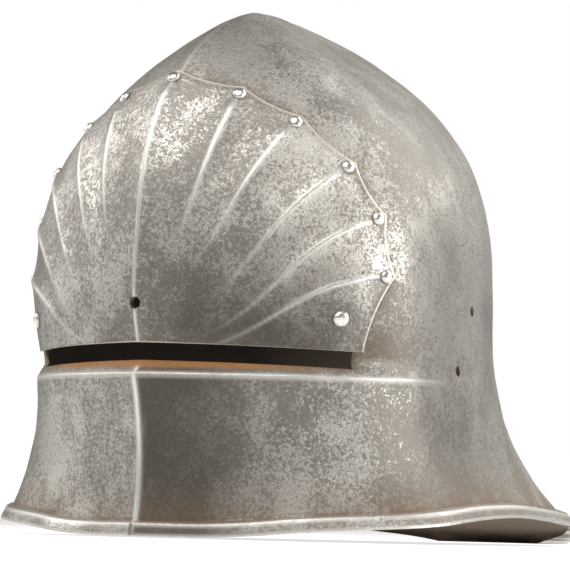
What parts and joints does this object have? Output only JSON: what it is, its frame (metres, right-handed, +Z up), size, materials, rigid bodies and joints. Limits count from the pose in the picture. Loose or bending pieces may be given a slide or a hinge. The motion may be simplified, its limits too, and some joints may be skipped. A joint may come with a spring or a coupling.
{
  "type": "sallet helmet",
  "caption": "One-piece steel helmet with a keel, a cut sight over a stepped ledge, a drawn-out tail, a turned rim and a riveted, fluted, cusped brow plate.",
  "frame": {"origin": "bottom centre of the bounding box, on the surface the helmet rests on", "axes": "+Z up, -Y the way the wearer faces, +X towards the wearer's left"},
  "size_m": [0.2682, 0.4067, 0.2722],
  "materials": {
    "skull_steel": "old bright steel, mottled with fine dark pitting, brown in the corners",
    "plate_steel": "old bright steel, pitted, with worn bright crests",
    "rivet_steel": "polished steel"
  },
  "bodies": {
    "root": {"skull": "skull_steel", "brow_plate": "plate_steel", "keel_rivet": "rivet_steel", "left_rivet_1": "rivet_steel", "left_rivet_2": "rivet_steel", "left_rivet_3": "rivet_steel", "left_rivet_4": "rivet_steel", "left_rivet_5": "rivet_steel", "left_low_rivet": "rivet_steel", "right_rivet_1": "rivet_steel", "right_rivet_2": "rivet_steel", "right_rivet_3": "rivet_steel", "right_rivet_4": "rivet_steel", "right_rivet_5": "rivet_steel", "right_low_rivet": "rivet_steel"}
  },
  "joints": []
}
